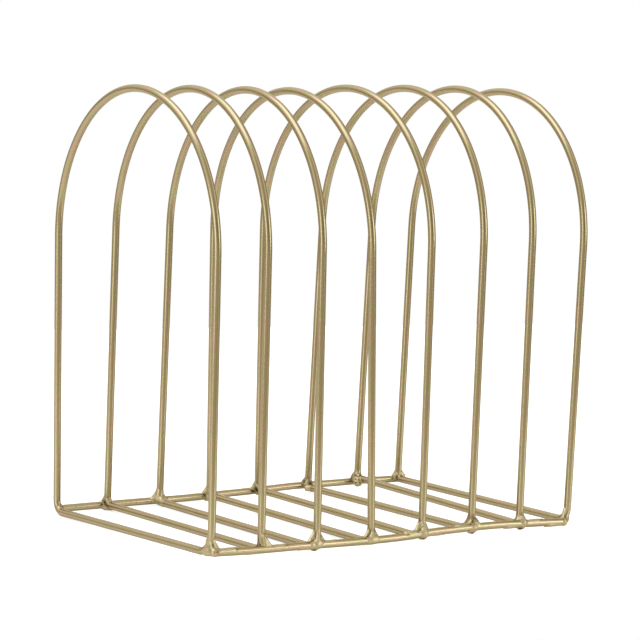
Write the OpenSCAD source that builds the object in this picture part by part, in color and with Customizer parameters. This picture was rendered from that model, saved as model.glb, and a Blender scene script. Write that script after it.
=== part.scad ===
// Free-standing magazine rack of welded wire. A row of bows stands on the floor, and
// magazines stand on edge between them. Each bow is one wire: two legs, a round arch
// over them and a floor bar under them. A rail runs along the outside of the feet at
// the front and at the back, and a weld bead at every foot joins the bow to the rail.
//
// Millimetres, +Z up. X runs along the row, and -Y is the front. The origin is on the
// floor, under the middle of the rack.

/* [Wire] */
// Diameter of the wire of the bows and the rails
wire_d = 5; // [4:0.5:7]
// Radius of the bend at each foot, at the middle of the wire
bend_r = 7; // [6:0.5:12]

/* [Bows] */
// Number of bows in the row
bow_count = 8; // [3:1:12]
// Even distance from one bow to the next
bow_pitch = 40; // [25:1:60]
// Radius of the round arch, at the middle of the wire
arch_r = 100; // [70:5:140]
// Height of the legs, from the middle of the floor bar to the spring of the arch
leg_h = 186; // [100:2:260]

/* [Rails] */
// Height of the rails over the floor bars, middle to middle
rail_lift = 0.5; // [0:0.1:2]
// Gap between a rail and the bends of the bows, which weld metal fills
root_gap = 0.3; // [0.2:0.05:0.6]
// How far a rail runs past the middle of the first and the last foot
rail_over = 2; // [1:0.25:2.5]

/* [Weld beads] */
// Weld metal over the outside of the rail
bead_wall = 1.1; // [0.8:0.1:2]
// How far the middle of a bead lies inside the middle of the rail
bead_set = 1.4; // [1:0.1:2]
// Height of the tip of a bead on the leg, over the middle of the bead
tip_h = 11; // [8:0.5:14]
// Radius of the tip
tip_r = 0.6; // [0.4:0.1:1.2]
// Step in radius from the ball of a bead to the foot of its tip
tip_step = 0.8; // [0.5:0.1:1.5]
// Depth of the flat that is dressed under each bead, where the rack stands
flat_cut = 0.2; // [0.1:0.05:0.5]

/* [Hidden] */
$fn = 64;
brass = [0.74, 0.65, 0.44];
front = -1;
back = 1;
sides = [front, back];
bows = [1:bow_count];

// The bows are set by hand. From the first bow to the last: millimetres off the even
// pitch, degrees of lean towards +X, degrees of turn about Z, and millimetres by which
// the legs are longer.
bow_shift = [0.7, -1.6, -1.2, 0.2, -0.3, 0.1, 0.9, -1.4];
bow_lean = [0.35, 1.05, 1.3, -0.3, 0.8, 2.1, 2.25, 2.6];
bow_turn = [1.5, 0.1, -0.3, 0.3, 1.15, -0.55, -1.45, 0.4];
bow_extra = [1, 0.6, -0.2, -0.8, 1.5, 1.4, 0.9, -0.5];
function own(list, i) = list[(i - 1) % len(list)];

wire_r = wire_d / 2;
floor_half = arch_r - bend_r;

// A rail lies against the outside of the bends. Seen along the row, its middle is this
// far from the middle of a bend, and this far outside the middle of the leg.
bend_to_rail = bend_r + wire_d + root_gap;
rail_out = sqrt(pow(bend_to_rail, 2) - pow(bend_r - rail_lift, 2)) - bend_r;

// The middle of a bead is on the line from the middle of the bend to that of the rail.
bead_share = (bend_to_rail - bead_set) / bend_to_rail;
bead_out = bead_share * (bend_r + rail_out) - bend_r;
bead_up = bend_r - bead_share * (bend_r - rail_lift);
bead_r = bead_set + wire_r + bead_wall;

// Height of the middle of the floor bars over the floor
stand_h = bead_r - flat_cut - bead_up;

function leg_top(i) = leg_h + own(bow_extra, i);
function row_x(i) = (i - (bow_count + 1) / 2) * bow_pitch + own(bow_shift, i);
function row_foot_x(i, side) = row_x(i) - side * arch_r * sin(own(bow_turn, i));
function row_top_x(i) = row_x(i) + (leg_top(i) + arch_r) * sin(own(bow_lean, i));

// The leaning bows reach further one way, so the row is moved to centre the rack.
left_end = min(concat([for (i = bows, side = sides) row_foot_x(i, side) - bead_r],
                      [for (i = bows) row_top_x(i) - wire_r]));
right_end = max(concat([for (i = bows, side = sides) row_foot_x(i, side) + bead_r],
                       [for (i = bows) row_top_x(i) + wire_r]));
row_mid = (left_end + right_end) / 2;

// Puts what is drawn in a bow's own frame, with the middle of its floor bar at the
// origin, where that bow stands.
module set_bow(i) {
    translate([row_x(i) - row_mid, 0, stand_h])
        rotate([0, own(bow_lean, i), own(bow_turn, i)])
            children();
}

// Wire bent round the origin, in the XY plane, from a start angle through a sweep
module bent_wire(radius, start, sweep) {
    rotate([0, 0, start])
        rotate_extrude(angle = sweep)
            translate([radius, 0])
                circle(d = wire_d);
}

// A bow's wire, drawn with X across and Y up, and then stood up
module bow_wire(i) {
    top = leg_top(i);
    set_bow(i) rotate([90, 0, 90]) {
        translate([0, top, 0]) bent_wire(arch_r, 0, 180);
        for (side = sides)
            translate([side * arch_r, bend_r, 0])
                rotate([-90, 0, 0])
                    cylinder(d = wire_d, h = top - bend_r);
        translate([floor_half, bend_r, 0]) bent_wire(bend_r, 270, 90);
        translate([-floor_half, bend_r, 0]) bent_wire(bend_r, 180, 90);
        rotate([0, 90, 0]) cylinder(d = wire_d, h = 2 * floor_half, center = true);
    }
}

// The straight wire along the feet of one side
module rail_wire(side) {
    start = row_foot_x(1, side) - rail_over;
    end = row_foot_x(bow_count, side) + rail_over;
    translate([start - row_mid, side * (arch_r + rail_out), stand_h + rail_lift])
        rotate([0, 90, 0])
            cylinder(d = wire_d, h = end - start);
}

// Ball of weld metal round the rail, with a tip that runs up the leg
module bead_blank(side) {
    translate([0, side * (arch_r + bead_out), bead_up]) {
        sphere(r = bead_r);
        cylinder(r1 = bead_r - tip_step, r2 = tip_r, h = tip_h);
    }
}

// Everything under the floor, below one foot
module under_floor(i, side) {
    size = 4 * bead_r;
    translate([row_foot_x(i, side) - row_mid, side * (arch_r + bead_out), -size / 2])
        cube(size, center = true);
}

module bow(i) {
    color(brass) bow_wire(i);
}

module rail(side) {
    color(brass) rail_wire(side);
}

module weld(i, side) {
    color(brass) difference() {
        set_bow(i) bead_blank(side);
        bow_wire(i);
        rail_wire(side);
        under_floor(i, side);
    }
}

for (i = bows) {
    bow(i);
    weld(i, front);
    weld(i, back);
}
rail(front);  // front_rail
rail(back);  // back_rail
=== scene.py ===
"""Looks of a welded wire magazine rack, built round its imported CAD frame.

Every bow, rail and weld bead of the frame is replaced by a modelled piece in the same
place. Sizes are in millimetres, in the frame of the CAD model, and a finished mesh is in
metres.
"""

import logging
import math
from dataclasses import dataclass, field
from enum import Enum

import bmesh
import bpy
import numpy as np
from mathutils import Matrix, Vector, noise


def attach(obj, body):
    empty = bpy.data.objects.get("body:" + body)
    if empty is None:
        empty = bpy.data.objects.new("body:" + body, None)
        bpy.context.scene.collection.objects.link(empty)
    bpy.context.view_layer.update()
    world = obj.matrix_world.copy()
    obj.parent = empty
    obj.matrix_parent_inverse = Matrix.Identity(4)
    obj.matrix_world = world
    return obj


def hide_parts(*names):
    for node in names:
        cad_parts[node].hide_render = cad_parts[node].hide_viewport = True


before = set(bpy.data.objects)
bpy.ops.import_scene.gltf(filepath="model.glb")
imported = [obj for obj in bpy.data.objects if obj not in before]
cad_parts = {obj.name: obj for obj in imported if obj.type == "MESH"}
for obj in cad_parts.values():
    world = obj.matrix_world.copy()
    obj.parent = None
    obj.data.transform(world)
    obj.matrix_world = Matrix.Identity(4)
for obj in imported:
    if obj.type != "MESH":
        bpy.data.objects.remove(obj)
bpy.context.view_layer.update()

LOG = logging.getLogger("magazine_rack")
MM = 0.001
BODY = "root"
MERGE_GAP = 0.001

# Attributes of the meshes: place round and along the wire, and darkness from 0 to 1 near the welds:
# soot, painted shade in pits, creases and under the beads, and painted dark reflections along
# folds.
GRAIN = "grain"
SOOT_AND_SHADE = "soot_and_shade"

Spot = tuple[float, float, float]
Rgb = tuple[float, float, float]
Row = tuple[float, ...]
Curve = tuple[tuple[float, float], ...]
Tree = bpy.types.ShaderNodeTree
WHITE: Rgb = (1.0, 1.0, 1.0)

# How the streaks and the drift of the colour spread over the brass.
STREAK_HARSH = 0.55
STREAK_RANGE = (0.3, 0.7)
TINT_DETAIL = 3.0
TINT_RANGE = (0.44, 0.68)
TINT_APART: Spot = (0.37, 0.11, 0.73)

# Kinds of sockets, and the numbers of the Mix node's sockets, which share their names.
FLOAT, COLOR, VECTOR = "NodeSocketFloat", "NodeSocketColor", "NodeSocketVector"
NUMBER_A, NUMBER_B, NUMBER_OUT = 2, 3, 0
COLOUR_A, COLOUR_B, COLOUR_OUT = 6, 7, 2


class Side(Enum):
    """Front or back of the rack, as the sign of Y."""

    FRONT = -1
    BACK = 1

    @property
    def word(self) -> str:
        """The side's name as it stands in the names of nodes."""
        return self.name.lower()


class Slot(Enum):
    """Material slots of the record that the pieces take their finish from."""

    WIRE = "wire"
    WELD = "weld"


# ---- sizes of the rack


@dataclass(frozen=True)
class RackSizes:
    """Sizes that all pieces share, as the CAD model has them."""

    wire_r: float = 2.5
    bend_r: float = 7.0
    arch_r: float = 100.0
    leg_h: float = 186.0
    pitch: float = 40.0
    bow_count: int = 8
    rail_lift: float = 0.5
    rail_out: float = 3.4422
    stand_h: float = 3.5602
    row_mid: float = 3.5667
    ring_sides: int = 24

    @property
    def floor_half(self) -> float:
        """Half of the straight part of a floor bar."""
        return self.arch_r - self.bend_r

    def rail_y(self, side: Side) -> float:
        """Y of the middle of a rail."""
        return side.value * (self.arch_r + self.rail_out)

    @property
    def rail_z(self) -> float:
        """Height of the middle of the rails over the floor."""
        return self.stand_h + self.rail_lift


RACK = RackSizes()


# ---- mesh helpers


def add_object(name: str, data: bpy.types.ID) -> bpy.types.Object:
    """Puts a mesh, lamp or camera into the scene as an object."""
    added = bpy.data.objects.new(name, data)
    bpy.context.scene.collection.objects.link(added)
    return added


def add_mesh(bm: bmesh.types.BMesh, name: str) -> bpy.types.Object:
    """Puts a bmesh into the scene as an object, and frees it."""
    mesh = bpy.data.meshes.new(name)
    bm.to_mesh(mesh)
    bm.free()
    return add_object(name, mesh)


def finish_piece(bm: bmesh.types.BMesh, name: str) -> bpy.types.Object:
    """Turns a bmesh in millimetres into a smooth piece in metres at the origin.

    Args:
        bm: The finished bmesh, which is freed.
        name: Name of the new object and its mesh.

    Returns:
        The object, linked to the scene.
    """
    bmesh.ops.scale(bm, vec=(MM, MM, MM), verts=bm.verts)
    bmesh.ops.recalc_face_normals(bm, faces=bm.faces)
    for face in bm.faces:
        face.smooth = True
    return add_mesh(bm, name)


def install(piece: bpy.types.Object, node: str,
            finish: bpy.types.Material) -> None:
    """Puts a piece in the place of a CAD node and gives it its finish.

    Args:
        piece: The modelled piece.
        node: Name of the CAD node that it replaces.
        finish: Material of the piece.
    """
    piece.data.materials.append(finish)
    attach(piece, BODY)
    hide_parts(node)
    LOG.info("%s: %d faces", piece.name, len(piece.data.polygons))


class WireSweep:
    """A ring that is extruded along straights and round bends into a wire."""

    def __init__(self, start: Matrix) -> None:
        """Starts the wire with one ring.

        Args:
            start: Place of the first ring, whose own Z axis runs along the wire.
        """
        self.bm = bmesh.new()
        self.spot = self.bm.verts.layers.float_vector.new("spot")
        self.run = 0.0
        ring = bmesh.ops.create_circle(
            self.bm, cap_ends=False, segments=RACK.ring_sides, radius=RACK.wire_r, matrix=start)
        inverse = start.inverted()
        for vert in ring["verts"]:
            own = inverse @ vert.co
            vert[self.spot] = (own.x, own.y, 0.0)
        self.edges = list(self.bm.edges)

    def _grow(self, move: Matrix, length: float) -> None:
        """Extrudes the open ring once.

        Args:
            move: Transform from the old ring to the new one.
            length: Length of wire that this adds.
        """
        grown = bmesh.ops.extrude_edge_only(self.bm, edges=self.edges)["geom"]
        verts = [g for g in grown if isinstance(g, bmesh.types.BMVert)]
        fresh = set(verts)
        self.edges = [g for g in grown if isinstance(g, bmesh.types.BMEdge)
                      and g.verts[0] in fresh and g.verts[1] in fresh]
        bmesh.ops.transform(self.bm, matrix=move, verts=verts)
        self.run += length
        for vert in verts:
            across, up, _ = vert[self.spot]
            vert[self.spot] = (across, up, self.run)

    def straight(self, way: Vector, steps: int) -> None:
        """Adds a straight.

        Args:
            way: From its start to its end.
            steps: Number of rings.
        """
        for _ in range(steps):
            self._grow(Matrix.Translation(way / steps), way.length / steps)

    def turn(self, centre: Vector, radius: float, angle: float, steps: int) -> None:
        """Adds a bend about an axis along X.

        Args:
            centre: Middle of the bend.
            radius: Radius of the bend at the middle of the wire.
            angle: Angle of the bend, in radians.
            steps: Number of rings.
        """
        move = (Matrix.Translation(centre) @ Matrix.Rotation(angle / steps, 4, "X")
                @ Matrix.Translation(-centre))
        for _ in range(steps):
            self._grow(move, radius * angle / steps)

    def close(self) -> None:
        """Joins the last ring to the first."""
        bmesh.ops.remove_doubles(self.bm, verts=self.bm.verts, dist=MERGE_GAP)

    def cap(self) -> None:
        """Closes both ends, which lie inside weld metal."""
        bmesh.ops.holes_fill(self.bm, edges=[e for e in self.bm.edges if e.is_boundary])

    def mark_grain(self) -> None:
        """Stores, at every corner of a face, its place round and along the wire."""
        grain = self.bm.loops.layers.float_vector.new(GRAIN)
        for face in self.bm.faces:
            last = max(v[self.spot].z for v in face.verts)
            for loop in face.loops:
                across, up, run = loop.vert[self.spot]
                if last - run > self.run / 2:
                    run += self.run
                loop[grain] = (across * MM, up * MM, run * MM)


# ---- the bows


@dataclass
class Bow:
    """One bow: a closed wire with two legs, a round arch and a floor bar.

    The bows are set and welded by hand, so each has its own millimetres off the even
    pitch, degrees of lean, degrees of turn, and millimetres by which the legs are longer.
    Its front and back foot are also bent along the row (toes), up (lifts) and tighter or
    wider (bends).
    """

    number: int
    shift: float
    lean: float
    turn: float
    extra: float
    toes: tuple[float, float]
    lifts: tuple[float, float]
    bends: tuple[float, float]
    floor_steps: int = 46
    bend_steps: int = 14
    leg_steps: int = 44
    arch_steps: int = 96

    @property
    def node(self) -> str:
        """Name of the CAD node."""
        return f"bow_{self.number}"

    @property
    def top(self) -> float:
        """Height of the spring of the arch over the middle of the floor bar."""
        return RACK.leg_h + self.extra

    @property
    def row_x(self) -> float:
        """X of the middle of the floor bar."""
        middle = (RACK.bow_count + 1) / 2
        return (self.number - middle) * RACK.pitch + self.shift - RACK.row_mid

    def foot_x(self, side: Side) -> float:
        """X of the foot at one side."""
        toe = self.toes[0] if side is Side.FRONT else self.toes[1]
        return self.row_x + toe - side.value * RACK.arch_r * math.sin(math.radians(self.turn))

    def place(self) -> Matrix:
        """Transform from the bow's own frame to the rack's."""
        return (Matrix.Translation((self.row_x, 0.0, RACK.stand_h))
                @ Matrix.Rotation(math.radians(self.turn), 4, "Z")
                @ Matrix.Rotation(math.radians(self.lean), 4, "Y"))

    def bent(self, own: np.ndarray) -> np.ndarray:
        """How far the feet are bent at points in the bow's own frame.

        Args:
            own: Points, one per row.

        Returns:
            The move of each point, which fades to nothing up the legs.
        """
        down = np.clip((self.top - own[:, 2]) / (self.top - RACK.bend_r), 0.0, 1.0)
        across = np.clip(0.5 + 0.5 * own[:, 1] / RACK.floor_half, 0.0, 1.0)
        toe = self.toes[0] + (self.toes[1] - self.toes[0]) * across
        lift = self.lifts[0] + (self.lifts[1] - self.lifts[0]) * across
        return np.stack((toe * down, np.zeros_like(down), lift * down), axis=1)

    def build(self) -> bpy.types.Object:
        """Sweeps the wire round the bow.

        Returns:
            The finished piece.
        """
        front, back = self.bends
        start, end = front - RACK.arch_r, RACK.arch_r - back
        quarter = math.pi / 2
        sweep = WireSweep(Matrix.Translation((0.0, start, 0.0))
                          @ Matrix.Rotation(-quarter, 4, "X"))
        sweep.straight(Vector((0.0, end - start, 0.0)), self.floor_steps)
        sweep.turn(Vector((0.0, end, back)), back, quarter, self.bend_steps)
        sweep.straight(Vector((0.0, 0.0, self.top - back)), self.leg_steps)
        sweep.turn(Vector((0.0, 0.0, self.top)), RACK.arch_r, math.pi, self.arch_steps)
        sweep.straight(Vector((0.0, 0.0, front - self.top)), self.leg_steps)
        sweep.turn(Vector((0.0, start, front)), front, quarter, self.bend_steps)
        sweep.close()
        sweep.mark_grain()
        moves = self.bent(np.array([v.co for v in sweep.bm.verts]))
        for vert, move in zip(sweep.bm.verts, moves):
            vert.co += Vector(move)
        bmesh.ops.transform(sweep.bm, matrix=self.place(), verts=sweep.bm.verts)
        return finish_piece(sweep.bm, f"{self.node}_wire")

    def clearance(self, points: np.ndarray, side: Side) -> np.ndarray:
        """Distance from the wire's surface near one foot.

        Args:
            points: Points in the rack's frame, one per row.
            side: Which foot.

        Returns:
            Distances, below zero inside the wire.
        """
        back = np.array(self.place().inverted())
        own = points @ back[:3, :3].T + back[:3, 3]
        own = own - self.bent(own)
        x, across, up = own[:, 0], own[:, 1] * side.value, own[:, 2]
        bend = self.bends[0] if side is Side.FRONT else self.bends[1]
        half = RACK.arch_r - bend
        leg = np.sqrt(x**2 + (across - RACK.arch_r)**2 + np.minimum(up - bend, 0.0)**2)
        bar = np.sqrt(x**2 + up**2 + np.maximum(across - half, 0.0)**2)
        spoke = np.hypot(across - half, up - bend)
        arc = np.where((across >= half) & (up <= bend), np.hypot(spoke - bend, x), np.inf)
        return np.minimum(np.minimum(leg, bar), arc) - RACK.wire_r


# ---- the rails


@dataclass
class Rail:
    """The wire along the feet of one side, which waves a little."""

    side: Side
    first: Bow
    last: Bow
    wave: Curve
    overs: tuple[float, float]
    steps: int = 120

    @property
    def node(self) -> str:
        """Name of the CAD node."""
        return f"{self.side.word}_rail"

    @property
    def start(self) -> float:
        """X of the left end, in the weld of the first foot."""
        return self.first.foot_x(self.side) - self.overs[0]

    @property
    def end(self) -> float:
        """X of the right end, in the weld of the last foot."""
        return self.last.foot_x(self.side) + self.overs[1]

    def rise(self, x: float) -> float:
        """How far the real rail lies over a straight one.

        Args:
            x: Place along the row.

        Returns:
            Millimetres upwards, on a smooth curve through the known places.
        """
        spots = self.wave
        x = min(max(x, spots[0][0]), spots[-1][0])
        i = max(k for k in range(len(spots) - 1) if spots[k][0] <= x)
        around = [spots[min(max(k, 0), len(spots) - 1)] for k in range(i - 1, i + 3)]
        (xa, za), (x0, z0), (x1, z1), (xb, zb) = around
        span = x1 - x0
        slope0, slope1 = (z1 - za) / (x1 - xa) * span, (zb - z0) / (xb - x0) * span
        t = (x - x0) / span
        return (z0 * (1 + 2 * t) * (1 - t)**2 + slope0 * t * (1 - t)**2
                + z1 * t * t * (3 - 2 * t) + slope1 * t * t * (t - 1))

    def build(self) -> bpy.types.Object:
        """Sweeps the rail and bends it along its wave.

        Returns:
            The finished piece.
        """
        place = Matrix.Translation((self.start, RACK.rail_y(self.side), RACK.rail_z))
        sweep = WireSweep(place @ Matrix.Rotation(math.pi / 2, 4, "Y"))
        sweep.straight(Vector((self.end - self.start, 0.0, 0.0)), self.steps)
        sweep.cap()
        sweep.mark_grain()
        for vert in sweep.bm.verts:
            vert.co.z += self.rise(vert.co.x)
        return finish_piece(sweep.bm, f"{self.node}_wire")

    def clearance(self, points: np.ndarray, x: float) -> np.ndarray:
        """Distance from the rail's surface near one foot.

        Args:
            points: Points in the rack's frame, one per row.
            x: Place of the foot along the row.

        Returns:
            Distances, below zero inside the rail.
        """
        along = points[:, 0]
        past = np.maximum(self.start - along, 0.0) + np.maximum(along - self.end, 0.0)
        off_y = points[:, 1] - RACK.rail_y(self.side)
        off_z = points[:, 2] - RACK.rail_z - self.rise(x)
        return np.sqrt(past**2 + off_y**2 + off_z**2) - RACK.wire_r


# ---- the weld beads


def joined(a: np.ndarray, b: np.ndarray, reach: float) -> np.ndarray:
    """Distance to two shapes that flow into each other with a fillet.

    Args:
        a: Distances to the first shape.
        b: Distances to the second shape.
        reach: Size of the fillet.

    Returns:
        Distances to the joined shape.
    """
    deepest = reach / 4
    near = np.clip(reach - np.abs(a - b), 0.0, None) / reach
    return np.minimum(a, b) - deepest * near * near


@dataclass(frozen=True)
class Lobe:
    """A run of weld metal, or of darkening (soot and painted shade), that tapers from one end to
    the other.

    Places are millimetres along the row, out of the rack and up, from the middle of the
    rail at the foot.
    """

    start: Spot
    end: Spot
    start_r: float
    end_r: float

    def around(self, points: np.ndarray) -> tuple[np.ndarray, np.ndarray]:
        """Measures from the middle of the lobe.

        Args:
            points: Points, one per row.

        Returns:
            Distances of the points from the lobe's middle line, and its radius beside them.
        """
        start, way = np.array(self.start), np.array(self.end) - np.array(self.start)
        length = float(way @ way)
        share = np.zeros(len(points))
        if length:
            share = np.clip((points - start) @ way / length, 0.0, 1.0)
        axis = start + share[:, None] * way
        far = np.linalg.norm(points - axis, axis=1)
        return far, self.start_r + (self.end_r - self.start_r) * share

    def clearance(self, points: np.ndarray) -> np.ndarray:
        """Distance of points from the lobe's surface."""
        far, radius = self.around(points)
        return far - radius


def fold(*spots: tuple[float, float, float, float]) -> tuple[Lobe, ...]:
    """A dark line along a fold, through places, each with its radius as the fourth number; it
    paints shade in the crease and a dark reflection on the fold.
    """
    return tuple(Lobe(a[:3], b[:3], a[3], b[3]) for a, b in zip(spots, spots[1:]))


def mark_soot_and_shade(piece: bpy.types.Object, soot_and_shade_runs: list[tuple[Lobe, float]]) -> None:
    """Stores at every vertex how dark it is near the welds: heat and soot of the welding, and
    painted shade and painted dark reflections.

    Args:
        piece: The modelled piece.
        soot_and_shade_runs: The dark runs in the rack's frame, each with its depth from 0 to 1:
            soot, painted shade and painted dark reflections.
    """
    count = len(piece.data.vertices)
    flat = np.empty(count * 3)
    piece.data.vertices.foreach_get("co", flat)
    places = flat.reshape(count, 3) / MM
    dark = np.zeros(count)
    for dark_stroke, depth in soot_and_shade_runs:
        far, radius = dark_stroke.around(places)
        dark = np.maximum(dark, depth * np.exp(-(far / radius)**2))
    layer = piece.data.attributes.new(SOOT_AND_SHADE, "FLOAT", "POINT")
    layer.data.foreach_set("value", dark)


@dataclass(frozen=True)
class Pit:
    """A small round hollow that the weld metal left open, painted dark with soot and with shade;
    low on a bead it paints the shade under the bead.
    """

    place: Spot
    radius: float
    dark: float = 1.8

    def ball(self, scale: float = 1.0) -> Lobe:
        """The hollow as a round lobe, or a larger lobe about the same place."""
        return Lobe(self.place, self.place, self.radius * scale, self.radius * scale)


@dataclass(frozen=True)
class BeadShape:
    """How the metal of one weld has run and set.

    The fillet is where bow and rail meet, the melt is where lobes meet, and the toe is
    where the metal runs out on the wires. The dark lines along its folds are painted shade and
    painted dark reflections.
    """

    lobes: tuple[Lobe, ...]
    fillet: float = 0.6
    melt: float = 1.2
    toe: float = 0.8
    pits: tuple[Pit, ...] = ()
    soot_and_shade_runs: tuple[Lobe, ...] = ()
    soot_and_shade_depth: float = 0.85
    lump: float = 0.10
    lump_size: float = 2.6


@dataclass
class WeldBead:
    """The weld at one foot, which joins a bow to a rail."""

    bow: Bow
    rail: Rail
    shape: BeadShape
    detail: int = 5
    reach: float = 16.0
    core: float = 0.3
    start_r: float = 0.5
    sink: float = 0.07
    pit_rim: float = 0.4
    pit_depth: float = 1.0
    march_steps: int = 60
    stride: float = 0.8
    lump_apart: float = 7.0

    @property
    def node(self) -> str:
        """Name of the CAD node."""
        return f"{self.rail.side.word}_weld_{self.bow.number}"

    def centre(self) -> np.ndarray:
        """Middle of the rail at the foot."""
        x = self.bow.foot_x(self.rail.side)
        return np.array((x, RACK.rail_y(self.rail.side), RACK.rail_z + self.rail.rise(x)))

    @property
    def facing(self) -> np.ndarray:
        """Signs that turn places out of the rack into places along Y."""
        return np.array((1.0, float(self.rail.side.value), 1.0))

    def moved(self, run: Lobe) -> Lobe:
        """A run of this weld in the rack's frame."""
        start, end = (tuple(self.centre() + np.array(spot) * self.facing)
                      for spot in (run.start, run.end))
        return Lobe(start, end, run.start_r, run.end_r)

    def dark_runs(self) -> list[tuple[Lobe, float]]:
        """The dark pits and folds of the weld in the rack's frame, soot and painted shade, each
        with its depth.
        """
        pits = [(self.moved(pit.ball(pit.dark)), self.pit_depth) for pit in self.shape.pits]
        return pits + [(self.moved(run), self.shape.soot_and_shade_depth) for run in self.shape.soot_and_shade_runs]

    def clearance(self, points: np.ndarray, lumps: np.ndarray) -> np.ndarray:
        """Distance from the surface of the weld metal and the wires in it.

        Args:
            points: Points in the rack's frame, one per row.
            lumps: How far the metal stands proud of its smooth form at each point.

        Returns:
            Distances, below zero inside.
        """
        shape = self.shape
        local = (points - self.centre()) * self.facing
        bow = self.bow.clearance(points, self.rail.side) + self.sink
        rail = self.rail.clearance(points, self.centre()[0]) + self.sink
        metal = shape.lobes[0].clearance(local)
        for lobe in shape.lobes[1:]:
            metal = joined(metal, lobe.clearance(local), shape.melt)
        for pit in shape.pits:
            metal = -joined(-metal, pit.ball().clearance(local), self.pit_rim)
        return joined(joined(bow, rail, shape.fillet), metal - lumps, shape.toe)

    def build(self) -> bpy.types.Object:
        """Blows a fine ball up to the surface of the weld metal.

        Returns:
            The finished piece.
        """
        shape = self.shape
        bm = bmesh.new()
        bmesh.ops.create_icosphere(bm, subdivisions=self.detail, radius=1.0)
        rays = np.array([v.co.normalized() for v in bm.verts])
        middle = self.centre() + np.array(shape.lobes[0].start) * self.facing
        own = Vector((self.bow.number, self.lump_apart * self.rail.side.value, 0.0))
        lumps = shape.lump * np.array([noise.noise(Vector(ray) * shape.lump_size + own)
                                       for ray in rays])
        far = np.full(len(rays), self.start_r)
        for _ in range(self.march_steps):
            gap = self.clearance(middle + rays * far[:, None], lumps)
            far = np.clip(far - self.stride * gap, self.core, self.reach)
        places = middle + rays * far[:, None]
        places[:, 2] = np.maximum(places[:, 2], 0.0)
        for vert, place in zip(bm.verts, places):
            vert.co = place
        return finish_piece(bm, f"{self.node}_bead")


# ---- finishes


class Wiring:
    """Adds nodes to a shader tree, sets their inputs and wires them up."""

    def __init__(self, tree: bpy.types.NodeTree) -> None:
        """Takes the tree that the nodes go into."""
        self.tree = tree

    def fill(self, node: bpy.types.Node, inputs: dict[str | int, object]) -> None:
        """Sets the inputs of a node.

        Args:
            node: The node.
            inputs: A value, or a socket to link from, by the name or number of each input.
        """
        for key, given in inputs.items():
            if isinstance(given, bpy.types.NodeSocket):
                self.tree.links.new(given, node.inputs[key])
            else:
                node.inputs[key].default_value = given

    def add(self, kind: str, inputs: dict[str | int, object],
            **options: object) -> bpy.types.Node:
        """Adds one node.

        Args:
            kind: Its type, without the word ShaderNode in front.
            inputs: What its inputs get, as for fill.
            options: The node's own settings.

        Returns:
            The node.
        """
        node = self.tree.nodes.new(f"ShaderNode{kind}")
        for option, choice in options.items():
            setattr(node, option, choice)
        self.fill(node, inputs)
        return node


def opaque(colour: Rgb) -> tuple[float, float, float, float]:
    """A colour in the form that a socket takes."""
    return (*colour, 1.0)


def new_group(name: str, inputs: dict[str, str], outputs: dict[str, str]) -> Tree:
    """Makes an empty shader node group.

    Args:
        name: Name of the group.
        inputs: Socket types by the names of the inputs.
        outputs: Socket types by the names of the outputs.

    Returns:
        The group, with its input and output nodes.
    """
    group = bpy.data.node_groups.new(name, "ShaderNodeTree")
    for in_out, sockets in (("INPUT", inputs), ("OUTPUT", outputs)):
        for socket, kind in sockets.items():
            group.interface.new_socket(socket, in_out=in_out, socket_type=kind)
    group.nodes.new("NodeGroupInput").name = "in"
    group.nodes.new("NodeGroupOutput").name = "out"
    return group


def drawn_streaks_group() -> Tree:
    """Builds the long streaks that a drawing die leaves along wire.

    Returns:
        A group that turns a place on the wire into a streak value from 0 to 1.
    """
    group = new_group("drawn_streaks", {"Place": VECTOR, "Stretch": VECTOR, "Detail": FLOAT},
                      {"Streak": FLOAT})
    wiring, given = Wiring(group), group.nodes["in"].outputs
    scaled = wiring.add("VectorMath", {0: given["Place"], 1: given["Stretch"]},
                        operation="MULTIPLY")
    cloud = wiring.add("TexNoise", {"Vector": scaled.outputs["Vector"], "Scale": 1.0,
                                    "Detail": given["Detail"], "Roughness": STREAK_HARSH})
    wiring.fill(group.nodes["out"], {"Streak": cloud.outputs["Fac"]})
    return group


def brass_tint_group() -> Tree:
    """Builds the slow drift of plated brass between a rosy and an olive gold.

    Returns:
        A group that turns a place into a colour.
    """
    group = new_group("brass_tint", {"Place": VECTOR, "Size": FLOAT, "Gold": COLOR,
                                     "Rosy": COLOR, "Olive": COLOR}, {"Tint": COLOR})
    wiring, given = Wiring(group), group.nodes["in"].outputs
    shifted = wiring.add("VectorMath", {0: given["Place"], 1: TINT_APART}, operation="ADD")
    low, high = TINT_RANGE
    tint = given["Gold"]
    for place, colour in ((given["Place"], "Rosy"), (shifted.outputs["Vector"], "Olive")):
        cloud = wiring.add("TexNoise", {"Vector": place, "Scale": given["Size"],
                                        "Detail": TINT_DETAIL})
        share = wiring.add("MapRange", {"Value": cloud.outputs["Fac"],
                                        "From Min": low, "From Max": high})
        mix = wiring.add("Mix", {"Factor": share.outputs["Result"], COLOUR_A: tint,
                                 COLOUR_B: given[colour]}, data_type="RGBA")
        tint = mix.outputs[COLOUR_OUT]
    wiring.fill(group.nodes["out"], {"Tint": tint})
    return group


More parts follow.
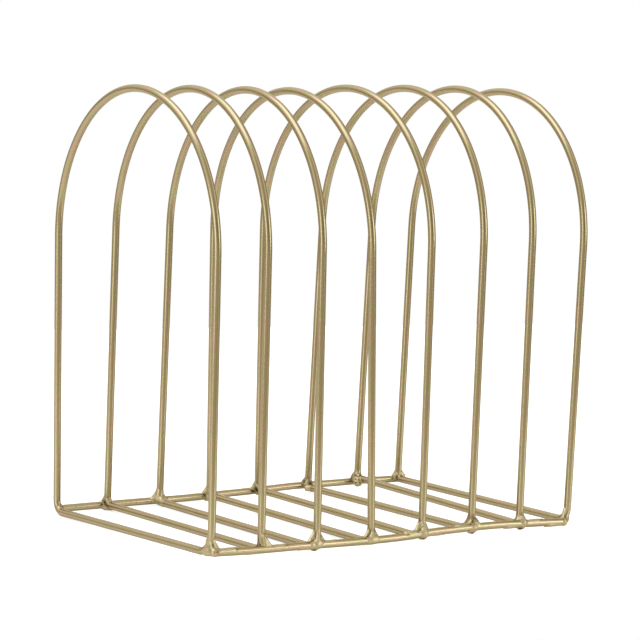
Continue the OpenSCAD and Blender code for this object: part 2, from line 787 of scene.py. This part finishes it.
@dataclass(frozen=True)
class BrassFinish:
    """Satin brass plate, on wire or on weld metal."""

    name: str
    gold: Rgb
    rosy: Rgb
    olive: Rgb
    tint_size: float
    stretch: Spot
    smooth: float
    rough: float
    shade: float
    bump: float
    along_wire: bool
    # Dark colour near the welds: soot, painted shade and painted dark reflections.
    soot_and_shade: Rgb = (0.055, 0.03, 0.002)
    edge: Rgb = (0.80, 0.75, 0.66)
    lacquer: float = 0.25
    lacquer_rough: float = 0.14
    streak_detail: float = 4.0
    relief: float = 0.0002

    def make(self, streaks: Tree, tint: Tree) -> bpy.types.Material:
        """Builds the material.

        Args:
            streaks: The group for drawn streaks.
            tint: The group for the drift of the colour.

        Returns:
            The material.
        """
        material = bpy.data.materials.new(self.name)
        material.use_nodes = True
        wiring = Wiring(material.node_tree)
        if self.along_wire:
            where = wiring.add("Attribute", {}, attribute_name=GRAIN).outputs["Vector"]
        else:
            where = wiring.add("TexCoord", {}).outputs["Object"]
        soot_and_shade = wiring.add("Attribute", {}, attribute_name=SOOT_AND_SHADE).outputs["Fac"]
        drift = wiring.add(
            "Group", {"Place": where, "Size": self.tint_size, "Gold": opaque(self.gold),
                      "Rosy": opaque(self.rosy), "Olive": opaque(self.olive)}, node_tree=tint)
        drawn = wiring.add("Group", {"Place": where, "Stretch": self.stretch,
                                     "Detail": self.streak_detail}, node_tree=streaks)
        streak = drawn.outputs["Streak"]
        spread = {"Value": streak, "From Min": STREAK_RANGE[0], "From Max": STREAK_RANGE[1]}
        shade = wiring.add("MapRange", {**spread, "To Min": 1.0 - self.shade,
                                        "To Max": 1.0 + self.shade})
        sheen = wiring.add("MapRange", {**spread, "To Min": self.rough, "To Max": self.smooth})
        # Where the welds are painted dark, with soot and with painted shade, the lacquer fades out
        # and the dark colour is mixed in.
        coat = wiring.add("MapRange", {"Value": soot_and_shade, "To Min": self.lacquer, "To Max": 0.0})
        toned = wiring.add("VectorMath", {0: drift.outputs["Tint"],
                                          "Scale": shade.outputs["Result"]}, operation="SCALE")
        soot_and_shade_colour = wiring.add("Mix", {"Factor": soot_and_shade, COLOUR_A: toned.outputs["Vector"],
                                   COLOUR_B: opaque(self.soot_and_shade)}, data_type="RGBA")
        relief = wiring.add("Bump", {"Height": streak, "Strength": self.bump,
                                     "Distance": self.relief})
        wiring.fill(material.node_tree.nodes["Principled BSDF"], {
            "Base Color": soot_and_shade_colour.outputs[COLOUR_OUT], "Metallic": 1.0,
            "Roughness": sheen.outputs["Result"], "Normal": relief.outputs["Normal"],
            "Specular Tint": opaque(self.edge), "Coat Weight": coat.outputs["Result"],
            "Coat Roughness": self.lacquer_rough})
        return material


DRAWN_BRASS = BrassFinish(
    name="drawn_brass_wire",
    gold=(0.46, 0.365, 0.20), rosy=(0.495, 0.348, 0.208), olive=(0.425, 0.375, 0.174),
    tint_size=90.0, stretch=(500.0, 500.0, 25.0), smooth=0.19, rough=0.26, shade=0.05, bump=0.03,
    along_wire=True)
WELD_BRASS = BrassFinish(
    name="brass_weld_metal",
    gold=(0.58, 0.475, 0.27), rosy=(0.56, 0.42, 0.25), olive=(0.49, 0.43, 0.21),
    tint_size=140.0, stretch=(500.0, 500.0, 500.0), smooth=0.32, rough=0.44, shade=0.08, bump=0.2,
    along_wire=False)


# ---- the studio


def heading(azimuth: float, elevation: float) -> Vector:
    """Direction from the rack, with degrees from +X towards +Y and over the floor."""
    a, e = math.radians(azimuth), math.radians(elevation)
    return Vector((math.cos(e) * math.cos(a), math.cos(e) * math.sin(a), math.sin(e)))


@dataclass(frozen=True)
class Softbox:
    """A soft lamp that looks at the rack. Its level is that of its own bright face."""

    name: str
    azimuth: float
    elevation: float
    distance: float
    width: float
    height: float
    level: float
    colour: Rgb = (0.92, 1.0, 1.16)

    def build(self, target: Vector) -> None:
        """Makes the lamp.

        Args:
            target: Point that it looks at, in metres.
        """
        lamp = bpy.data.lights.new(self.name, "AREA")
        lamp.shape = "RECTANGLE"
        lamp.size, lamp.size_y = self.width, self.height
        lamp.color = self.colour
        lamp.energy = math.pi * self.level * self.width * self.height
        way = heading(self.azimuth, self.elevation)
        holder = add_object(self.name, lamp)
        holder.location = target + self.distance * way
        holder.rotation_mode = "QUATERNION"
        holder.rotation_quaternion = (-way).to_track_quat("-Z", "Y")


@dataclass(frozen=True)
class RoomPatch:
    """A round part of the room that is lighter or darker than the rest."""

    azimuth: float
    elevation: float
    inner: float
    outer: float
    level: float

    def shine(self, wiring: Wiring, way: bpy.types.NodeSocket) -> bpy.types.NodeSocket:
        """Adds the part to the room.

        Args:
            wiring: Node tree of the world.
            way: Direction of a ray.

        Returns:
            A socket with its level, which fades to 0 from its inner to its outer angle.
        """
        near = wiring.add("VectorMath", {0: way, 1: heading(self.azimuth, self.elevation)},
                          operation="DOT_PRODUCT")
        fade = wiring.add("MapRange", {"Value": near.outputs["Value"], "To Max": self.level,
                                       "From Min": math.cos(math.radians(self.outer)),
                                       "From Max": math.cos(math.radians(self.inner))},
                          interpolation_type="SMOOTHSTEP")
        return fade.outputs["Result"]


def shown_rays(wiring: Wiring, mirrored: bpy.types.NodeSocket | float) -> bpy.types.NodeSocket:
    """Adds the test for rays that show a background.

    Args:
        wiring: Node tree of the background.
        mirrored: Share of the background that metal and glass show.

    Returns:
        A socket that is 1 for rays from the camera, and the share for rays from shiny or
        clear surfaces.
    """
    path = wiring.add("LightPath", {}).outputs
    shown = path["Is Glossy Ray"]
    for operation, given in (("ADD", path["Is Transmission Ray"]), ("MULTIPLY", mirrored),
                             ("ADD", path["Is Camera Ray"])):
        step = wiring.add("Math", {0: shown, 1: given}, operation=operation, use_clamp=True)
        shown = step.outputs["Value"]
    return shown


@dataclass
class Studio:
    """Floor, backdrop, lamps and camera.

    The camera's places are in millimetres and its angles in radians. The floor and the
    lamps are in metres, and their angles in degrees.
    """

    azimuth: float = -0.5703196
    elevation: float = 0.1015859
    roll: float = 0.0147721
    target: Spot = (-3.5667, -40.0, 124.0602)
    aside: float = -17.8980
    raised: float = 15.5786
    distance: float = 1810.636
    lens: float = 154.6525
    sensor: float = 36.0
    floor_wide: float = 2.8
    floor_deep: float = 1.6
    floor_ahead: float = 0.38
    floor_left: float = 0.4
    floor_turn: float = 342.0
    floor_colour: Rgb = (0.8, 0.8, 0.8)
    floor_glow: float = 0.60
    floor_mirrored: float = 0.27
    floor_ior: float = 1.5
    floor_rough: float = 0.2
    room_low: float = 0.53
    room_high: float = 1.12
    room_rise: tuple[float, float] = (0.02, 0.6)
    dusk: Rgb = (1.05, 0.98, 0.80)
    dusk_levels: tuple[float, float] = (0.4, 1.0)
    backdrop: RoomPatch = RoomPatch(57.0, -6.0, 9.0, 18.0, 1.0)
    backdrop_level: float = 1.0
    room: tuple[RoomPatch, ...] = (
        RoomPatch(258.0, 40.0, 12.0, 48.0, -0.55),
        RoomPatch(10.0, 40.0, 8.0, 36.0, -0.55),
        RoomPatch(245.0, -6.0, 8.0, 26.0, 0.13),
        RoomPatch(350.0, -4.0, 10.0, 38.0, -0.16),
    )
    lamps: tuple[Softbox, ...] = (
        Softbox("overhead_softbox", 150.0, 72.0, 1.5, 1.2, 1.2, 1.4, (0.86, 1.0, 1.30)),
        Softbox("left_softbox", 192.0, 8.0, 1.6, 1.0, 0.7, 1.6),
        Softbox("front_right_softbox", 307.0, 11.0, 1.8, 0.75, 0.66, 2.4),
    )
    lit: Spot = (0.0, 0.0, 0.14)

    def build_camera(self) -> None:
        """Makes the camera that stands where the photograph was taken from."""
        a, e = self.azimuth, self.elevation
        back = Vector((math.sin(a) * math.cos(e), -math.cos(a) * math.cos(e), math.sin(e)))
        level = Vector((math.cos(a), math.sin(a), 0.0))
        upright = back.cross(level)
        right = math.cos(self.roll) * level + math.sin(self.roll) * upright
        up = math.cos(self.roll) * upright - math.sin(self.roll) * level
        eye = Vector(self.target) + self.aside * right + self.raised * up + self.distance * back
        data = bpy.data.cameras.new("camera")
        data.sensor_width = self.sensor
        data.lens = self.lens
        camera = add_object("camera", data)
        turned = Matrix((right, up, back)).transposed().to_4x4()
        camera.matrix_world = Matrix.Translation(eye * MM) @ turned
        bpy.context.scene.camera = camera

    def build_floor(self) -> None:
        """Makes the wide white sheet on the floor, which keeps the rack's shadow."""
        bm = bmesh.new()
        half_wide, half_deep = self.floor_wide / 2, self.floor_deep / 2
        place = (Matrix.Rotation(math.radians(self.floor_turn), 4, "Z")
                 @ Matrix.Translation((-self.floor_left, half_deep - self.floor_ahead, 0.0))
                 @ Matrix.Diagonal((half_wide, half_deep, 1.0, 1.0)))
        bmesh.ops.create_grid(bm, x_segments=1, y_segments=1, size=1.0, matrix=place)
        floor = add_mesh(bm, "floor")
        material = bpy.data.materials.new("white_floor")
        material.use_nodes = True
        material.node_tree.nodes.clear()
        wiring = Wiring(material.node_tree)
        paper = wiring.add("BsdfDiffuse", {"Color": opaque(self.floor_colour)})
        gloss = wiring.add("BsdfGlossy", {"Color": opaque(WHITE), "Roughness": self.floor_rough})
        slant = wiring.add("Fresnel", {"IOR": self.floor_ior})
        sheet = wiring.add("MixShader", {"Fac": slant.outputs["Fac"], 1: paper.outputs["BSDF"],
                                         2: gloss.outputs["BSDF"]})
        level = wiring.add("Math", {0: shown_rays(wiring, self.floor_mirrored), 1: self.floor_glow},
                           operation="MULTIPLY")
        glow = wiring.add("Emission", {"Strength": level.outputs["Value"]})
        total = wiring.add("AddShader", {0: sheet.outputs["Shader"], 1: glow.outputs["Emission"]})
        wiring.add("OutputMaterial", {"Surface": total.outputs["Shader"]})
        floor.data.materials.append(material)

    def build_world(self) -> None:
        """Makes the room, lighter and whiter upwards, and the white backdrop in it."""
        world = bpy.data.worlds.new("studio")
        bpy.context.scene.world = world
        world.use_nodes = True
        world.node_tree.nodes.clear()
        wiring = Wiring(world.node_tree)
        way = wiring.add("TexCoord", {}).outputs["Generated"]
        split = wiring.add("SeparateXYZ", {"Vector": way})
        height = wiring.add("MapRange", {
            "Value": split.outputs["Z"], "From Min": self.room_rise[0],
            "From Max": self.room_rise[1], "To Min": self.room_low, "To Max": self.room_high},
            interpolation_type="SMOOTHSTEP")
        room = height.outputs["Result"]
        for patch in self.room:
            total = wiring.add("Math", {0: room, 1: patch.shine(wiring, way)}, operation="ADD")
            room = total.outputs["Value"]
        shown = shown_rays(wiring, self.backdrop.shine(wiring, way))
        mixed = wiring.add("Mix", {"Factor": shown, NUMBER_A: room, NUMBER_B: self.backdrop_level})
        level = mixed.outputs[NUMBER_OUT]
        day = wiring.add("MapRange", {"Value": level, "From Min": self.dusk_levels[0],
                                      "From Max": self.dusk_levels[1]})
        tone = wiring.add("Mix", {"Factor": day.outputs["Result"], COLOUR_A: opaque(self.dusk),
                                  COLOUR_B: opaque(WHITE)}, data_type="RGBA")
        glow = wiring.add("Background", {"Color": tone.outputs[COLOUR_OUT], "Strength": level})
        wiring.add("OutputWorld", {"Surface": glow.outputs["Background"]})

    def build(self) -> None:
        """Sets up the whole studio."""
        bpy.context.scene.view_settings.view_transform = "Standard"
        self.build_camera()
        self.build_floor()
        self.build_world()
        for lamp in self.lamps:
            lamp.build(Vector(self.lit))


# ---- the rack


# The welds are all different. Each shape is one foot, from the first bow to the last.
# Pits low on a bead paint the shade under it, and the folds paint shade and dark reflections along
# its creases.
FRONT_BEADS = (
    BeadShape(
        (Lobe((0.8, -1.2, -0.1), (0.2, -2.8, 5.0), 2.6, 2.0),
         Lobe((0.6, -0.6, 0.0), (0.0, -9.0, -1.2), 2.5, 2.5),
         Lobe((2.8, -0.6, 1.8), (1.3, -2.4, 6.4), 1.4, 0.9),
         Lobe((-1.4, -5.4, 2.0), (-1.4, -5.6, 7.0), 1.6, 1.2)),
        pits=(Pit((-0.6, -0.6, 4.6), 0.4),),
        soot_and_shade_runs=(*fold((-1.1, -1.2, 4.5, 0.55), (0.5, 1.5, 2.0, 0.6)),
                *fold((0.5, 1.5, 2.0, 0.5), (3.3, 2.2, 1.1, 0.4))),
        soot_and_shade_depth=0.4, melt=0.8),
    BeadShape(
        (Lobe((1.4, -1.2, 0.4), (0.8, -2.0, 3.0), 2.4, 1.5),
         Lobe((5.2, 0.2, 1.9), (0.4, -0.5, 8.4), 0.8, 0.5),
         Lobe((3.4, 0.15, 1.9), (0.4, -0.6, 7.8), 1.0, 0.6),
         Lobe((1.2, 0.2, 1.9), (-0.1, -0.5, 6.8), 1.1, 0.7)),
        pits=(Pit((-2.4, -4.1, 2.9), 0.6, 2.6),),
        soot_and_shade_runs=fold((-0.3, -1.0, 6.4, 0.45), (0.0, -0.8, 3.8, 0.5)), melt=1.6, toe=0.5),
    BeadShape(
        (Lobe((-2.4, -0.3, 0.4), (0.1, -1.7, 7.2), 3.1, 1.2),
         Lobe((-6.6, 0.1, 0.2), (-0.4, -0.2, 0.8), 2.5, 2.8),
         Lobe((3.0, -0.6, 1.4), (1.1, -2.2, 6.4), 1.6, 0.9),
         Lobe((-0.5, -2.5, 0.4), (-0.5, -8.5, 0.2), 2.4, 2.4),
         Lobe((-4.8, -0.5, -1.6), (-3.4, -0.5, -1.8), 2.0, 2.0),
         Lobe((-7.3, -1.4, 1.6), (-0.9, -4.2, 7.4), 1.5, 1.5)),
        pits=(Pit((-5.0, 0.8, -3.2), 0.4, 3.0),),
        soot_and_shade_runs=fold((-1.7, -2.0, 7.6, 0.4), (-2.3, -1.5, 6.0, 0.5), (-3.4, -0.2, 4.1, 0.6),
                    (-4.9, -0.1, 3.2, 0.55), (-8.1, 1.0, 2.5, 0.45), (-10.0, 1.8, 2.0, 0.3)),
        soot_and_shade_depth=1.0),
    BeadShape(
        (Lobe((-2.0, -0.3, 0.4), (0.1, -1.8, 5.8), 2.9, 1.2),
         Lobe((-5.0, 0.1, 0.0), (0.8, -0.1, 0.5), 2.45, 2.7),
         Lobe((2.4, -0.5, 1.2), (1.0, -2.2, 6.2), 1.6, 0.9),
         Lobe((-0.4, -2.5, 0.2), (-0.4, -7.5, 0.0), 2.4, 2.4),
         Lobe((-6.1, -1.4, 1.6), (-1.1, -4.0, 5.9), 1.4, 1.4)),
        pits=(Pit((0.5, -0.6, 5.8), 0.4),),
        soot_and_shade_runs=fold((-1.6, -1.7, 6.9, 0.4), (-1.9, -1.5, 5.5, 0.5), (-2.6, -1.0, 4.2, 0.55),
                    (-4.2, -0.6, 3.1, 0.55), (-6.2, 0.6, 2.5, 0.45), (-8.2, 1.6, 1.9, 0.3)),
        soot_and_shade_depth=1.0),
    BeadShape(
        (Lobe((-1.0, -0.2, 0.2), (0.2, -1.8, 5.6), 3.2, 1.4),
         Lobe((-4.2, -0.3, 0.0), (-1.0, -0.4, 0.4), 2.5, 2.8),
         Lobe((1.6, -0.4, 1.4), (1.0, -2.1, 6.4), 1.7, 0.9),
         Lobe((-0.4, -2.5, 0.0), (-0.4, -8.0, -0.6), 2.4, 2.4),
         Lobe((-2.6, -0.5, -1.6), (-0.8, -0.5, -1.7), 2.4, 2.5),
         Lobe((-5.8, -1.4, 1.8), (-1.5, -4.0, 6.0), 1.5, 1.5)),
        pits=(Pit((-2.9, -3.0, 7.9), 0.6), Pit((-2.5, 1.0, -3.5), 0.4, 3.0)),
        soot_and_shade_runs=fold((-1.6, -0.3, 4.4, 0.55), (-3.2, -0.4, 3.0, 0.55), (-6.6, 2.0, 1.4, 0.35))),
    BeadShape(
        (Lobe((-0.8, -0.4, 0.0), (0.0, -2.0, 6.0), 3.3, 1.5),
         Lobe((-3.8, -1.0, 0.2), (-1.0, -2.0, 3.6), 2.4, 1.8),
         Lobe((2.4, 0.0, 1.8), (1.4, -1.4, 5.4), 2.0, 1.2),
         Lobe((-0.2, -2.5, 0.6), (-0.2, -8.0, 0.4), 2.4, 2.4),
         Lobe((-2.8, -0.5, -1.7), (-1.2, -0.5, -1.8), 2.5, 2.6)),
        pits=(Pit((0.2, -0.3, 6.0), 0.7), Pit((-2.2, 1.8, 3.6), 0.9),
              Pit((-3.6, 0.4, 2.0), 0.6), Pit((-2.8, 1.0, -3.7), 0.4, 3.0)),
        soot_and_shade_runs=(*fold((-1.4, -1.0, 6.2, 0.7), (-1.7, 0.6, 3.8, 0.8)),
                *fold((-1.7, 0.6, 3.8, 0.7), (-3.8, 1.2, 2.2, 0.5)),
                *fold((1.3, -0.3, 5.8, 0.45), (1.9, 1.2, 3.6, 0.45))),
        melt=0.8, lump=0.35, lump_size=4.0),
    BeadShape(
        (Lobe((0.4, 0.1, 1.0), (0.7, -1.8, 5.6), 3.0, 1.2),
         Lobe((2.2, -0.6, 1.8), (1.2, -2.3, 6.6), 1.5, 0.9),
         Lobe((-2.4, -1.2, 1.2), (-1.0, -2.6, 4.4), 2.0, 1.2),
         Lobe((-1.6, -0.5, -1.5), (-0.2, -0.5, -1.5), 2.5, 2.5)),
        pits=(Pit((-1.8, 1.6, 3.2), 0.6), Pit((0.2, -0.6, 7.0), 0.7),
              Pit((-2.2, 1.4, -3.2), 0.5, 3.2)),
        soot_and_shade_runs=fold((-1.1, -1.4, 7.7, 0.5), (-0.2, -0.8, 6.2, 0.5)), melt=0.8, lump=0.15),
    BeadShape(
        (Lobe((-5.4, -0.6, 0.0), (-2.2, -2.6, 1.2), 2.62, 2.5),
         Lobe((-2.2, -2.6, 1.2), (-0.4, -3.6, 6.0), 2.5, 2.5),
         Lobe((-5.4, -1.2, 2.0), (-2.0, -3.2, 5.6), 1.0, 0.9)),
        pits=(Pit((-3.4, -0.6, 3.6), 0.5),), fillet=1.5, melt=1.5, toe=1.0),
)
BACK_BEADS = (
    BeadShape(
        (Lobe((3.4, -1.2, 0.4), (1.4, -3.0, 3.0), 2.3, 1.8),
         Lobe((3.4, -2.0, 2.2), (1.8, -3.2, 4.8), 1.2, 0.8)), fillet=1.0),
    BeadShape(
        (Lobe((0.2, -3.8, -0.4), (0.2, -4.2, 3.2), 3.0, 2.5),
         Lobe((-2.6, -0.6, 1.8), (-1.2, -2.4, 6.4), 1.6, 0.9),
         Lobe((0.4, -3.6, -1.2), (1.8, -5.4, -0.6), 2.6, 2.8),
         Lobe((-2.2, -2.0, -0.6), (-1.6, -2.6, -0.8), 2.3, 2.3)),
        pits=(Pit((-2.9, -4.0, 2.1), 1.2), Pit((-3.4, -2.4, 0.4), 0.8)),
        melt=0.8, lump=0.2),
    BeadShape(
        (Lobe((-1.2, -2.8, 1.4), (-0.2, -3.4, 6.2), 3.3, 2.2),
         Lobe((-3.4, -0.6, 1.6), (-1.0, -2.4, 7.0), 1.9, 1.0),
         Lobe((4.4, -1.6, 1.8), (1.4, -3.2, 6.2), 1.5, 0.9),
         Lobe((-0.4, -4.8, 0.4), (0.0, -9.0, -0.4), 3.1, 2.6)),
        fillet=3.0, melt=1.6, toe=1.5),
    BeadShape(
        (Lobe((-0.4, -2.8, 0.6), (0.2, -3.4, 5.0), 3.0, 2.0),
         Lobe((-3.4, -0.6, 1.6), (-1.2, -2.4, 7.2), 1.7, 0.9),
         Lobe((-1.0, -1.4, -1.2), (1.0, -2.4, -1.4), 2.4, 2.4)),
        pits=(Pit((-3.6, -2.2, 1.0), 0.8),), fillet=2.0),
    BeadShape(
        (Lobe((0.0, -3.6, 0.0), (0.2, -4.0, 3.4), 2.8, 2.4),
         Lobe((-2.4, -1.4, 2.2), (-1.6, -2.2, 5.4), 1.8, 1.3)),
        pits=(Pit((-2.2, -5.2, 1.6), 1.3), Pit((-3.2, -2.4, 0.2), 0.8)),
        melt=0.8, lump=0.2),
    BeadShape(
        (Lobe((0.2, -4.0, -0.2), (0.2, -4.2, 2.8), 3.0, 2.5),
         Lobe((-2.6, -0.8, 2.0), (-1.2, -2.6, 6.4), 1.6, 0.9),
         Lobe((-2.0, -3.6, 1.4), (-1.2, -4.2, 2.8), 1.8, 1.5),
         Lobe((-2.8, -6.8, -1.0), (0.2, -8.8, -1.1), 2.1, 2.6),
         Lobe((0.6, -4.4, -1.3), (1.8, -5.2, -1.0), 2.6, 2.5)),
        pits=(Pit((-0.2, -6.8, 2.5), 1.2), Pit((-3.2, -2.6, 3.0), 0.9)),
        melt=0.7, lump=0.30, lump_size=3.5),
    BeadShape(
        (Lobe((-1.6, -6.2, 1.4), (-2.7, -8.3, 1.3), 3.0, 3.8),
         Lobe((-0.4, -2.8, 0.6), (0.0, -3.4, 5.2), 2.6, 2.3),
         Lobe((-3.4, -0.6, 1.6), (-1.3, -2.4, 7.2), 1.5, 0.9),
         Lobe((-1.8, -3.6, 5.6), (-1.6, -3.6, 6.0), 1.3, 1.2)),
        pits=(Pit((0.6, -7.4, 4.6), 0.9), Pit((-4.8, -3.8, 2.0), 0.9),
              Pit((-2.2, -5.0, 4.0), 0.7), Pit((-3.4, -11.0, 2.9), 0.5, 1.3),
              Pit((-5.2, -9.9, 0.8), 0.5, 1.3), Pit((-2.9, -11.5, 0.7), 0.45, 1.3),
              Pit((-5.1, -9.5, 3.0), 0.45, 1.3)),
        soot_and_shade_runs=fold((-6.3, -6.7, 1.4, 0.4), (-5.3, -7.3, -1.6, 0.4), (-1.9, -9.7, -2.1, 0.4)),
        melt=0.5, toe=0.5, lump=0.30, lump_size=4.0),
    BeadShape(
        (Lobe((0.2, -3.2, 0.6), (0.3, -3.6, 4.4), 2.7, 2.2),
         Lobe((-1.6, -1.8, 2.4), (-0.8, -2.8, 6.2), 2.4, 1.5),
         Lobe((3.4, -4.6, 2.4), (1.8, -3.8, 6.4), 2.1, 1.2)),
        pits=(Pit((-2.2, -5.7, 2.4), 0.65),),
        soot_and_shade_runs=fold((-3.9, -2.5, 2.8, 0.4), (-3.4, -2.4, 1.2, 0.4)), melt=0.8),
)
BEADS = {Side.FRONT: FRONT_BEADS, Side.BACK: BACK_BEADS}

# How far the rails rise over straight ones: places along the row, and millimetres.
WAVES: dict[Side, Curve] = {
    Side.FRONT: ((-141.0, 3.1), (-118.0, 2.3), (-98.0, 1.95), (-78.0, 1.75), (-60.0, 1.35),
                 (-40.0, 0.95), (-15.0, 0.75), (2.0, 1.0), (22.0, 2.1), (44.0, 2.45),
                 (62.0, 2.65), (80.0, 2.35), (100.0, 1.4), (115.0, 0.85), (128.0, 0.15),
                 (138.0, 0.0)),
    Side.BACK: ((-142.0, -0.8), (-118.0, -0.85), (-80.0, -0.95), (-46.0, -1.2), (-30.0, -1.05),
                (-10.0, -0.6), (8.0, -0.4), (26.0, 0.1), (46.0, 0.6), (62.0, 0.4), (80.0, 0.25),
                (108.0, 0.1), (122.0, -0.45), (134.0, -0.65)),
}

# How far the rails reach past the first and the last foot.
OVERS = {Side.FRONT: (0.0, -5.2), Side.BACK: (-3.5, 1.0)}


@dataclass
class MagazineRack:
    """The whole rack, with every bow and rail as it was set by hand."""

    shifts: Row = (0.28, -0.63, -0.73, 0.77, 0.09, 1.31, 0.09, -1.06)
    leans: Row = (0.49, 0.74, 1.10, -0.51, 0.67, 1.84, 2.50, 2.52)
    turns: Row = (1.71, -0.34, -0.84, -0.23, 1.32, -0.93, -1.83, 0.42)
    extras: Row = (0.93, 0.70, 0.07, -0.50, 1.35, 1.53, 1.28, -0.48)
    front_toes: Row = (-0.53, -0.10, 2.30, 1.05, -1.50, 0.50, 2.40, -0.47)
    back_toes: Row = (1.32, -2.49, -2.36, -2.58, 0.18, -2.84, -1.06, -0.19)
    front_lifts: Row = (2.35, 1.60, -1.00, -1.00, -0.75, 1.00, 1.40, 0.65)
    back_lifts: Row = (-1.00, 0.15, -1.00, 0.55, 1.50, 0.05, 3.70, 0.50)
    front_bends: Row = (13.0, 5.0, 14.0, 11.5, 13.0, 12.5, 6.5, 9.0)
    back_bends: Row = (7.5, 4.5, 6.0, 5.5, 4.5, 4.5, 5.0, 4.5)
    bows: list[Bow] = field(init=False)
    rails: list[Rail] = field(init=False)
    welds: list[WeldBead] = field(init=False)

    def __post_init__(self) -> None:
        """Lays out the bows, rails and welds."""
        rows = zip(self.shifts, self.leans, self.turns, self.extras,
                   zip(self.front_toes, self.back_toes), zip(self.front_lifts, self.back_lifts),
                   zip(self.front_bends, self.back_bends))
        self.bows = [Bow(i, *row) for i, row in enumerate(rows, start=1)]
        self.rails = [Rail(side, self.bows[0], self.bows[-1], WAVES[side], OVERS[side])
                      for side in Side]
        self.welds = [WeldBead(bow, rail, shape) for rail in self.rails
                      for bow, shape in zip(self.bows, BEADS[rail.side])]

    def build(self) -> None:
        """Builds and dresses every piece."""
        streaks, tint = drawn_streaks_group(), brass_tint_group()
        finishes = {Slot.WIRE: DRAWN_BRASS.make(streaks, tint),
                    Slot.WELD: WELD_BRASS.make(streaks, tint)}
        # Dark runs of all welds: soot, painted shade and painted dark reflections.
        soot_and_shade_runs = [run for bead in self.welds for run in bead.dark_runs()]
        for part in (*self.bows, *self.rails, *self.welds):
            piece = part.build()
            mark_soot_and_shade(piece, soot_and_shade_runs)
            slot = Slot.WELD if isinstance(part, WeldBead) else Slot.WIRE
            install(piece, part.node, finishes[slot])


def main() -> None:
    """Builds the studio and the rack, and reports each piece."""
    logging.basicConfig(level=logging.INFO, format="%(name)s: %(message)s")
    Studio().build()
    MagazineRack().build()


if __name__ == "__main__":
    main()
